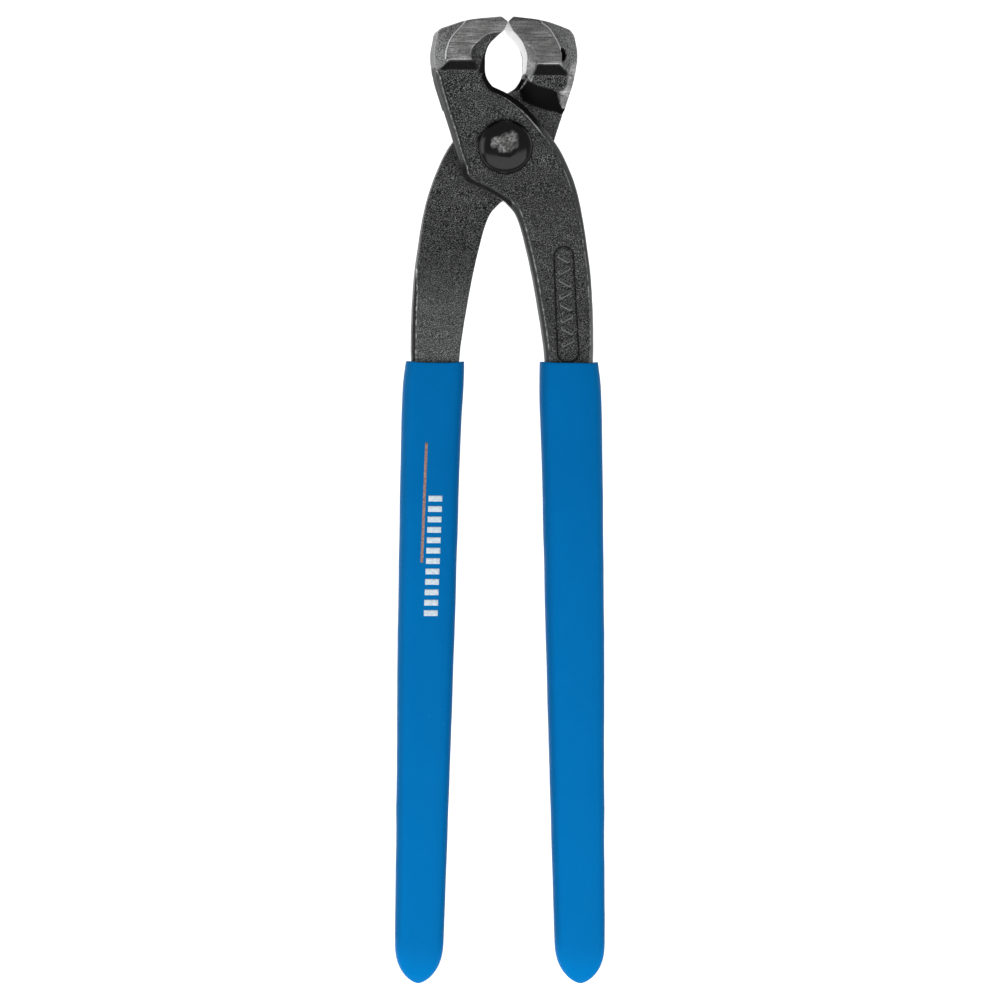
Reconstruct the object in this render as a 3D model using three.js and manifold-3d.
// Tile nippers: two drop-forged steel levers that cross at a rivet, each with a ground
// end-cutting jaw above the joint and a dip-coated grip below it. Millimetres, +Z up.
//
// The tool is drawn in its own frame first: rivet axis along Z through the origin, jaws
// towards +Y, handles towards -Y. The last section lays it on a bench, face up.
import * as THREE from "three";
import { mergeVertices } from "three/addons/utils/BufferGeometryUtils.js";
import Module from "manifold-3d";

const wasm = await Module();
wasm.setup();

// ---------------------------------------------------------------- driving dimensions
const JAW_HALF = 12; // half the length of the cutting edges, along the rivet axis
const LAP = 7; // thickness of each lever at the joint
const GAP = 0.15; // from the joint's middle plane to each lever's mating face
const EDGE_GAP = 0.12; // from the tool's centre line to each closed cutting edge
const SHANK_HALF = 4.4; // half thickness of the shank below the joint
const MOUTH_Y = -55.7; // where a grip begins
const SHANK_END_Y = MOUTH_Y + 0.2; // where the bare shank gives way to the coated tang
const GRIP_END_Y = -216.5; // the rounded tip of a grip
const OGIVE = 11.3; // the length over which a grip closes to its tip
const TANG_END_Y = -211; // the end of the steel inside a grip
const COAT = 1.3; // wall of the dipped coating
const COAT_GAP = 0.15; // from the tang to the coating's inner wall
const BORE_R = 4.08;
const RIVET_R = 4;
const RIVET_HEAD_R = 7;
const RIVET_HEAD_H = 3.3;
const RIVET_TAIL_R = 6.6;
const RIVET_TAIL_H = 2.5;
const RIVET_LIFT = 0.15; // from a lever's face to the underside of a rivet head

// ---------------------------------------------------------------- materials
const forgedSteel = new THREE.MeshStandardMaterial({ color: 0x2c2d2d, roughness: 0.55, metalness: 0.8 });
const rivetSteel = new THREE.MeshStandardMaterial({ color: 0x161616, roughness: 0.3, metalness: 0.8 });
const bluePvc = new THREE.MeshStandardMaterial({ color: 0x006bb0, roughness: 0.5, metalness: 0 });

// ---------------------------------------------------------------- solids and meshes
const v2 = (x, y) => new THREE.Vector2(x, y);

/** A closed three.js geometry as a manifold-3d solid. */
function solidOf(geometry) {
  const bare = geometry.clone();
  bare.deleteAttribute("normal");
  bare.deleteAttribute("uv");
  const merged = mergeVertices(bare, 1e-4);
  return new wasm.Manifold(
    new wasm.Mesh({
      numProp: 3,
      vertProperties: merged.attributes.position.array,
      triVerts: new Uint32Array(merged.index.array),
    }),
  );
}

/** A manifold-3d solid as a flat-shaded three.js geometry. */
function geometryOf(solid) {
  const mesh = solid.getMesh();
  const geometry = new THREE.BufferGeometry();
  geometry.setAttribute("position", new THREE.BufferAttribute(mesh.vertProperties, 3));
  geometry.setIndex(new THREE.BufferAttribute(mesh.triVerts, 1));
  const flat = geometry.toNonIndexed();
  flat.computeVertexNormals();
  return flat;
}

/** A prism of a plan shape from z = low to z = high. */
function prism(shape, low, high, curveSegments) {
  const geometry = new THREE.ExtrudeGeometry(shape, {
    depth: high - low,
    bevelEnabled: false,
    curveSegments,
  });
  return solidOf(geometry.translate(0, 0, low));
}

/** A solid through rings of equal length; place(point, height) puts a ring's point in space. */
function loft(rings, heights, place) {
  const count = rings[0].length;
  const positions = rings.flatMap((ring, i) => ring.flatMap((p) => place(p, heights[i])));
  const index = [];
  for (let i = 0; i + 1 < rings.length; i++) {
    for (let j = 0; j < count; j++) {
      const next = (j + 1) % count;
      const [a, b] = [i * count + j, i * count + next];
      index.push(a, b, b + count, a, b + count, a + count);
    }
  }
  const top = (rings.length - 1) * count;
  for (const [a, b, c] of THREE.ShapeUtils.triangulateShape(rings[0], [])) index.push(c, b, a);
  for (const [a, b, c] of THREE.ShapeUtils.triangulateShape(rings.at(-1), [])) {
    index.push(top + a, top + b, top + c);
  }
  const geometry = new THREE.BufferGeometry();
  geometry.setAttribute("position", new THREE.Float32BufferAttribute(positions, 3));
  geometry.setIndex(index);
  return solidOf(geometry);
}

/** A loft between two plan polygons, both counter-clockwise. */
function taper(lowPlan, low, highPlan, high) {
  return loft([lowPlan, highPlan], [low, high], (p, z) => [p.x, p.y, z]);
}

// ---------------------------------------------------------------- the lever forging
/**
 * Plan outline of a lever whose jaw is on the left: up from the shank's outer edge, over the
 * round of the joint, round the eye to the cutting edge, then down the outside.
 */
function leverPlan() {
  const plan = new THREE.Shape();
  plan.moveTo(11.4, SHANK_END_Y);
  plan.lineTo(23.6, SHANK_END_Y);
  plan.splineThru([
    v2(23.7, -50), v2(23.5, -42), v2(22.87, -33), v2(21.75, -25.3), v2(20.42, -17.5), v2(18.35, -9.5),
    v2(15.3, -2.2), v2(12.9, 1.7), v2(9.4, 6.1), v2(6.2, 9.7), v2(3.4, 12), v2(0.6, 13.6),
    v2(-1.5, 14.5), v2(-3.4, 15.8), v2(-4.87, 18.5), v2(-5.37, 21.1), v2(-5.37, 23.7),
    v2(-4.44, 26.3), v2(-3.1, 28.2), v2(-1.4, 29.9),
  ]);
  plan.lineTo(-EDGE_GAP, 32.2);
  plan.lineTo(-1.5, 33.5);
  plan.splineThru([v2(-9.7, 32.78), v2(-16.1, 30.68)]);
  plan.quadraticCurveTo(-17.4, 30.15, -17.9, 28.3);
  plan.splineThru([
    v2(-18.55, 24.4), v2(-18.3, 20.4), v2(-17.77, 16), v2(-15.85, 9.6), v2(-13.4, 1.8), v2(-11.2, -6),
  ]);
  plan.quadraticCurveTo(-10.7, -8.2, -8.6, -9.5);
  plan.splineThru([v2(-5.4, -10.9), v2(-2.7, -12.3), v2(0.6, -14.4)]);
  plan.splineThru([v2(3.3, -17.7), v2(5.38, -24), v2(7.98, -35), v2(10.39, -49), v2(11.4, SHANK_END_Y)]);
  return plan;
}

/** The same lever seen from the side: thickness along the tool, as a shape in (y, z). */
function leverSide() {
  const lapEnd = -14.3;
  const rampEnd = -40;
  const side = new THREE.Shape();
  side.moveTo(35, -JAW_HALF);
  side.lineTo(35, JAW_HALF);
  side.lineTo(22.4, JAW_HALF); // front of the jaw, then the step down to the lap
  side.lineTo(20.2, LAP);
  side.lineTo(lapEnd, LAP);
  side.lineTo(rampEnd, SHANK_HALF);
  side.lineTo(MOUTH_Y, SHANK_HALF - 0.3);
  side.lineTo(MOUTH_Y, 0.3 - SHANK_HALF);
  side.lineTo(rampEnd, -SHANK_HALF);
  side.lineTo(lapEnd, GAP); // the mating face
  side.lineTo(8, GAP);
  side.lineTo(8, -LAP);
  side.lineTo(18.4, -LAP); // the shelf under the jaw, and the step up to its back
  side.lineTo(21.5, -JAW_HALF);
  return side;
}

/** A side shape pushed through the whole width of the tool: shape (x, y) becomes (y, z). */
function acrossTool(shape) {
  const width = 80;
  const geometry = new THREE.ExtrudeGeometry(shape, { depth: width, bevelEnabled: false });
  geometry.translate(0, 0, -width / 2);
  geometry.applyMatrix4(
    new THREE.Matrix4().makeBasis(
      new THREE.Vector3(0, 1, 0),
      new THREE.Vector3(0, 0, 1),
      new THREE.Vector3(1, 0, 0),
    ),
  );
  return solidOf(geometry);
}

/**
 * The recess behind the jaw that the other lever swings into. Its sloping wall is the stop
 * that ends the opening: the other shank's outer edge meets it just past 45 degrees. The
 * wall steepens outboard, which leaves a web along the lever's outer flank.
 */
function swingRecess() {
  const right = 30;
  const left = -24;
  const bottom = -14;
  const rest = [v2(left, bottom), v2(right, bottom)];
  const deep = [v2(right, 17.4), v2(-3.5, 17.3), v2(-4.7, 13.4), v2(-7.7, 11)];
  const deepWeb = [v2(-13, 9.5), v2(-14.5, 9.2), v2(left, 9)];
  const mouth = [v2(right, 19.4), v2(-4.5, 19), v2(-6.2, 17.2), v2(-9.5, 16)];
  const mouthWeb = [v2(-13, 14.9), v2(-14.6, 11), v2(left, 10)];
  const atShelf = [...rest, ...mouth, ...mouthWeb];
  const atMating = [...rest, ...deep, ...deepWeb];
  return taper(atShelf, -JAW_HALF - 1, atShelf, -LAP - 0.01).add(
    taper(atShelf, -LAP - 0.02, atMating, GAP),
  );
}

/** The slope outside a jaw's ground side: outboard of its ridge the metal falls to the flank. */
function shoulder() {
  const outside = [v2(-30, 36), v2(-30, 20)];
  const ridge = [v2(-16, 20), v2(-15.4, 25.9), v2(-13.8, 28.6), v2(-10.6, 32.8), v2(-9, 36)];
  const flank = [v2(-21.2, 20), v2(-20.8, 25.9), v2(-19.4, 29.4), v2(-16, 34.6), v2(-14.6, 37)];
  return taper([...flank, ...outside], LAP, [...ridge, ...outside], JAW_HALF + 0.1);
}

/** The hollow between a jaw's ground side and the eye: it dips towards the eye's wall. */
function eyeRelief(edge) {
  const depth = 3;
  const inside = [v2(3, 19), v2(3, 29.9)];
  const eye = [v2(-0.9, 29.9), v2(-3, 27.4), v2(-4.6, 25.1), v2(-5.1, 22.6), v2(-4.8, 19)];
  return taper([...inside, ...eye], JAW_HALF - depth, [...inside, ...edge], JAW_HALF + 0.1);
}

/** The same cut on the back of the jaw. */
const onBack = (cut) => cut.mirror([0, 0, 1]);

/** Half sizes and centre of the tang at y; `grow` swells it for the coating's inner wall. */
function tangRing(y, grow) {
  const { centre, halfWidth, halfDepth } = gripAt(y);
  return roundedRing(centre, halfWidth - COAT - COAT_GAP + grow, halfDepth - COAT - COAT_GAP + grow, 24);
}

/** The tang that the coating holds: a tapering bar with a rounded end. */
function tang(top, bottom, grow) {
  const heights = stations(bottom, top, 12);
  return loft(heights.map((y) => tangRing(y, grow)), heights, alongTool);
}

function lever() {
  const bore = solidOf(new THREE.CylinderGeometry(BORE_R, BORE_R, 4 * LAP, 48).rotateX(Math.PI / 2));
  return prism(leverPlan(), -JAW_HALF, JAW_HALF, 4)
    .intersect(acrossTool(leverSide()))
    .subtract(swingRecess())
    .subtract(shoulder())
    .subtract(onBack(shoulder()))
    .subtract(eyeRelief([v2(-1.6, 29.9), v2(-4.6, 29.3), v2(-7.4, 27.2), v2(-9, 24.8), v2(-9.6, 19)]))
    .subtract(onBack(eyeRelief([v2(-1.6, 29.9), v2(-4.3, 28.2), v2(-6, 26), v2(-7.6, 23.6), v2(-9, 19)])))
    .subtract(bore)
    .add(tang(MOUTH_Y + 2, TANG_END_Y, 0));
}

// ---------------------------------------------------------------- the dipped grips
/** Evenly spaced heights from low to high. */
function stations(low, high, count) {
  return Array.from({ length: count + 1 }, (_, i) => low + ((high - low) * i) / count);
}

/** A flattened round section in (z, x): a superellipse, counter-clockwise seen from +Y. */
function roundedRing(centre, halfWidth, halfDepth, count) {
  const squareness = 2 / 3.2;
  const bend = (c) => Math.sign(c) * Math.abs(c) ** squareness;
  return Array.from({ length: count }, (_, i) => {
    const a = (2 * Math.PI * (i + 0.5)) / count;
    return v2(halfDepth * bend(Math.cos(a)), centre + halfWidth * bend(Math.sin(a)));
  });
}

const alongTool = (p, y) => [p.y, y, p.x];

// The inner and outer edges of a grip, and half its thickness, from its mouth to its tip.
const gripInner = new THREE.SplineCurve([
  v2(MOUTH_Y, 9.8), v2(-64, 10), v2(-86, 10.8), v2(-128, 11.9), v2(-170, 13.25), v2(GRIP_END_Y, 14.8),
]);
const gripOuter = new THREE.SplineCurve([
  v2(MOUTH_Y, 25), v2(-64, 25.75), v2(-86, 26.25), v2(-128, 26.75), v2(-170, 26.95), v2(GRIP_END_Y, 27.3),
]);
const gripHalfDepth = new THREE.SplineCurve([
  v2(MOUTH_Y, 5.5), v2(-64, 5.7), v2(-86, 5.6), v2(-128, 5.3), v2(-170, 5), v2(GRIP_END_Y, 4.6),
]);

/** A spline's second coordinate where its first one is y; the first runs downwards. */
function valueAt(spline, y) {
  let [low, high] = [0, 1];
  for (let i = 0; i < 30; i++) {
    const middle = (low + high) / 2;
    if (spline.getPoint(middle).x > y) low = middle;
    else high = middle;
  }
  return spline.getPoint(low).y;
}

/** The grip's centre and half sizes at y; the last stretch closes in an ogive. */
function gripAt(y) {
  const [inner, outer] = [valueAt(gripInner, y), valueAt(gripOuter, y)];
  const past = Math.max(0, 1 - (y - GRIP_END_Y) / OGIVE);
  const close = (1 - past ** 2.6) ** 0.64;
  return {
    centre: (inner + outer) / 2,
    halfWidth: (close * (outer - inner)) / 2,
    halfDepth: close * valueAt(gripHalfDepth, y),
  };
}

function grip() {
  const tip = [0.05, 0.35, 1, 2.1, 3.8, 6, 8.6].map((d) => GRIP_END_Y + d);
  const heights = [...tip, ...stations(GRIP_END_Y + OGIVE, MOUTH_Y, 12)];
  const rings = heights.map((y) => {
    const { centre, halfWidth, halfDepth } = gripAt(y);
    return roundedRing(centre, halfWidth, halfDepth, 32);
  });
  return loft(rings, heights, alongTool).subtract(tang(MOUTH_Y + 2, TANG_END_Y - 0.3, COAT_GAP));
}

// ---------------------------------------------------------------- the rivet
/** Profile of a domed head that stands `height` above `base`, from its rim to the axis. */
function dome(radius, height, base, sign) {
  const rim = 0.22 * height;
  const steps = 6;
  const points = [v2(radius, base)];
  for (let i = 0; i <= steps; i++) {
    const a = (Math.PI / 2) * (i / steps);
    points.push(v2(radius * Math.cos(a), base + sign * (rim + (height - rim) * Math.sin(a))));
  }
  points.at(-1).x = 0;
  return points;
}

function rivet() {
  const seat = LAP + RIVET_LIFT;
  const tail = dome(RIVET_TAIL_R, RIVET_TAIL_H, -seat, -1).reverse();
  const head = dome(RIVET_HEAD_R, RIVET_HEAD_H, seat, 1);
  const profile = [...tail, v2(RIVET_R, -seat), v2(RIVET_R, seat), ...head];
  return new THREE.LatheGeometry(profile, 48).rotateX(Math.PI / 2);
}

// ---------------------------------------------------------------- assembly
function named(name, geometry, material) {
  const mesh = new THREE.Mesh(geometry, material);
  mesh.name = name;
  return mesh;
}

const leverGeometry = geometryOf(lever());
const gripGeometry = geometryOf(grip());

const frontHalf = new THREE.Group();
frontHalf.add(named("front_lever", leverGeometry, forgedSteel));
frontHalf.add(named("right_grip", gripGeometry, bluePvc));
frontHalf.add(named("pivot_rivet", rivet(), rivetSteel));

// The rear half is the same forging and grip, turned over about the tool's long axis.
const rearHalf = new THREE.Group();
rearHalf.add(named("rear_lever", leverGeometry, forgedSteel));
rearHalf.add(named("left_grip", gripGeometry, bluePvc));
rearHalf.rotation.y = Math.PI;

const tool = new THREE.Group();
tool.add(frontHalf, rearHalf);

// It lies on the backs of its jaws and on the ends of its grips, so its jaws are tilted up.
const jawRestY = 21.5;
const gripRestY = GRIP_END_Y + OGIVE;
const drop = JAW_HALF - gripAt(gripRestY).halfDepth;
tool.rotation.x = Math.atan(drop / (jawRestY - gripRestY));

// The origin is on the bench, under the middle of the box round the tool.
const part = new THREE.Group();
part.add(tool);
const box = new THREE.Box3().setFromObject(part, true);
const middle = box.getCenter(new THREE.Vector3());
tool.position.set(-middle.x, -middle.y, -box.min.z);

export default part;
